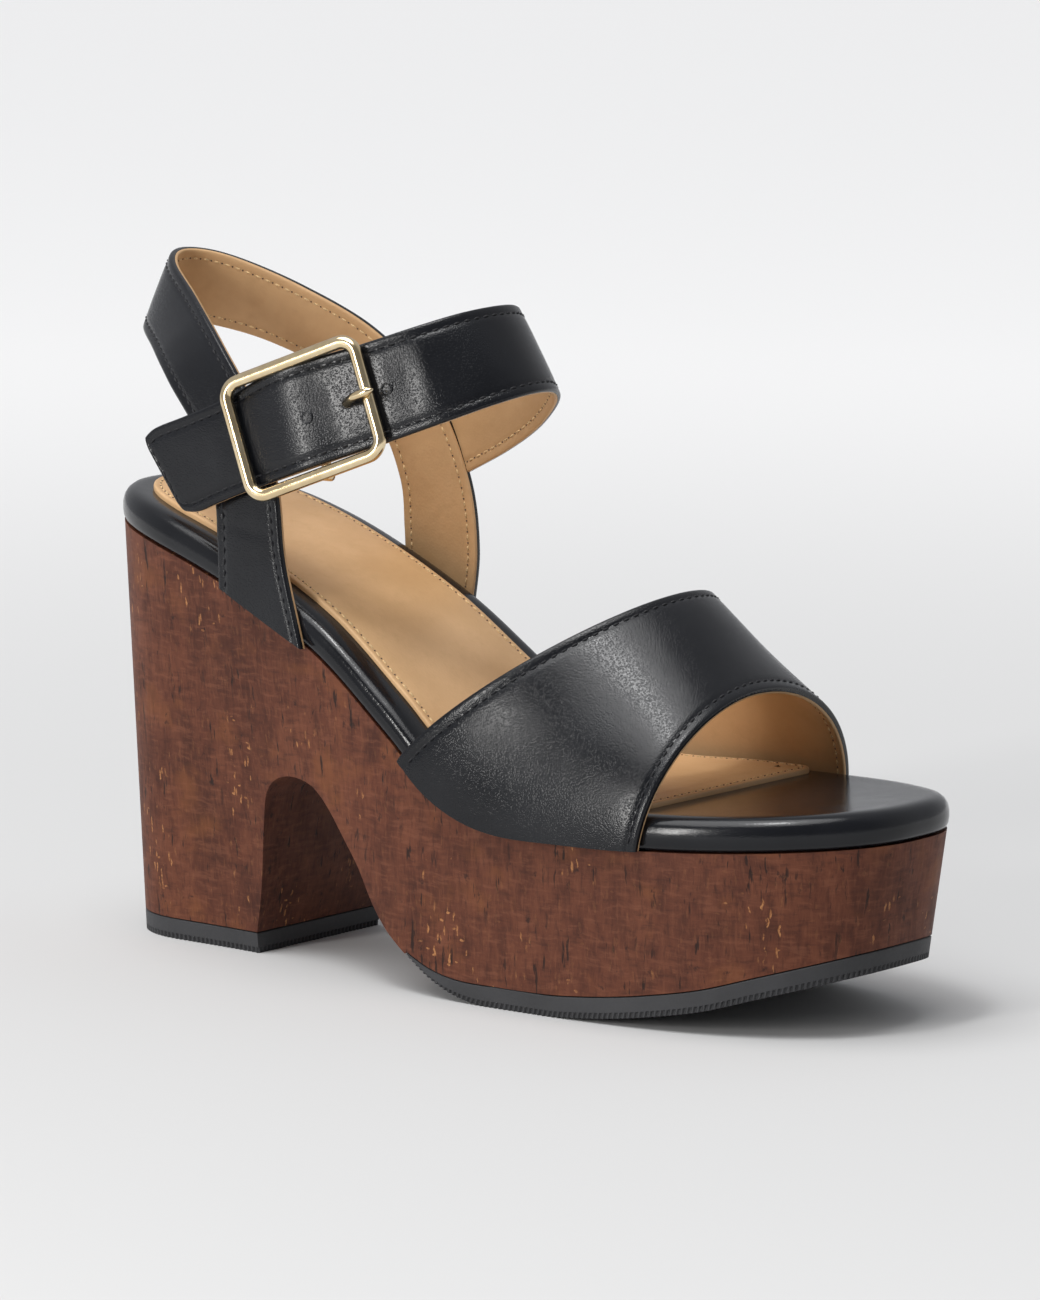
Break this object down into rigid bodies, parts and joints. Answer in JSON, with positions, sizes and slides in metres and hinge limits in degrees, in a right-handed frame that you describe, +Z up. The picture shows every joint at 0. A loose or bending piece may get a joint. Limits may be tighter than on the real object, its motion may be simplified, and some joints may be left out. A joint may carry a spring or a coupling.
{
  "type": "platform sandal",
  "caption": "Right women's platform sandal with a high block heel, an arch, one wide strap over the toes, a heel strap and a buckled ankle strap.",
  "frame": {"origin": "on the floor, under the middle of the sandal's box", "axes": "+X from heel to toe, +Y to the medial (inner) side of the right foot, +Z up"},
  "size_m": [0.251, 0.1022, 0.1852],
  "materials": {
    "cork": "dark red-brown cork with a vertical grain and short light flecks, satin varnish",
    "rubber": "matt dark grey rubber",
    "black_leather": "black leather, fine grain, semi-gloss, with stitched edges",
    "tan_lining": "smooth tan lining leather, satin",
    "black_elastic": "black elastic with fine ribs across it",
    "pale_gold": "polished pale gold"
  },
  "bodies": {
    "root": {"platform": "cork", "heel_top_lift": "rubber", "forefoot_outsole": "rubber", "footbed": "black_leather", "sock_lining": "tan_lining", "vamp_strap": "black_leather", "heel_and_ankle_strap": "black_leather", "elastic_gore": "black_elastic", "buckle_frame": "pale_gold", "buckle_prong": "pale_gold"}
  },
  "joints": []
}
